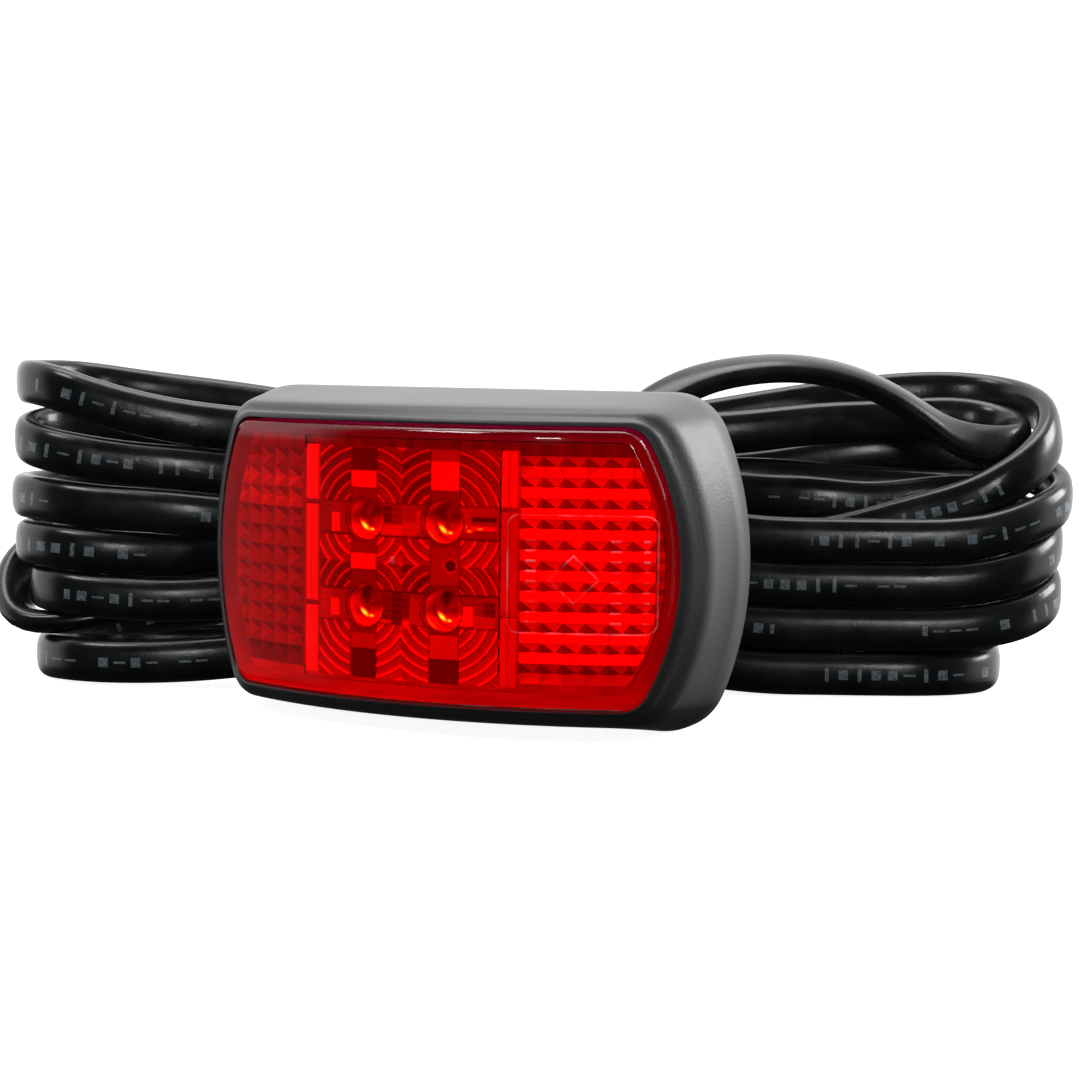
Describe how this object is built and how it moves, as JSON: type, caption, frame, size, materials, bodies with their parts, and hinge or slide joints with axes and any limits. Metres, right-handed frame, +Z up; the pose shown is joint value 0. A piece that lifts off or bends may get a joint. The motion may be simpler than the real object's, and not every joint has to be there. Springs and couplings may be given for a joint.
{
  "type": "trailer tail light",
  "caption": "Barrel-shaped red LED rear light with reflector panels under a bowed lens, satin grey clip-on cover, and a flat two-core lead wound into a tied hank behind it.",
  "frame": {"origin": "Bottom centre of the lamp without its cord: the middle of the cover's lower rim, on the surface it stands on.", "axes": "+X runs along the lamp's long side, to the right as seen from the lens side; -Y is the way the lens faces; +Z is up."},
  "size_m": [0.1468, 0.0962, 0.048],
  "materials": {
    "cover": "satin dark grey moulded plastic with a fine spark texture",
    "lens": "clear red moulded plastic, polished",
    "optic": "clear red moulded plastic with prisms",
    "black_plastic": "black moulded plastic",
    "black_rubber": "black rubber, matt",
    "sheath": "black flexible vinyl, satin",
    "board": "green solder mask",
    "led_resin": "clear LED resin",
    "component": "black moulded component body",
    "steel": "plated steel",
    "brass": "plain brass",
    "core_red": "red wire insulation",
    "core_black": "black wire insulation",
    "tinned": "tinned copper strands"
  },
  "bodies": {
    "lamp": {"lens": "lens", "lens_seal": "black_rubber", "reflex_left": "optic", "reflex_right": "optic", "ring_optic": "optic", "light_bar_left": "optic", "light_bar_right": "optic", "tub": "black_plastic", "mounting_pad": "black_rubber", "insert_left": "brass", "insert_right": "brass", "circuit_board": "board", "led_1": "led_resin", "led_2": "led_resin", "led_3": "led_resin", "led_4": "led_resin", "board_screw_left": "steel", "board_screw_right": "steel", "resistor_1": "component", "resistor_2": "component", "resistor_3": "component", "resistor_4": "component", "diode": "component", "regulator": "component", "capacitor": "steel", "cord_grommet": "black_rubber", "cord_lead": "sheath", "cord_hank": "sheath", "hank_tie": "black_plastic", "core_red": "core_red", "core_black": "core_black", "core_red_tip": "tinned", "core_black_tip": "tinned"},
    "cover": {"front_cover": "cover"}
  },
  "joints": [
    {"name": "cover_pull", "type": "slide", "parent": "lamp", "child": "cover", "axis": [0, -1, 0], "range_m": [0, 0.03]}
  ]
}
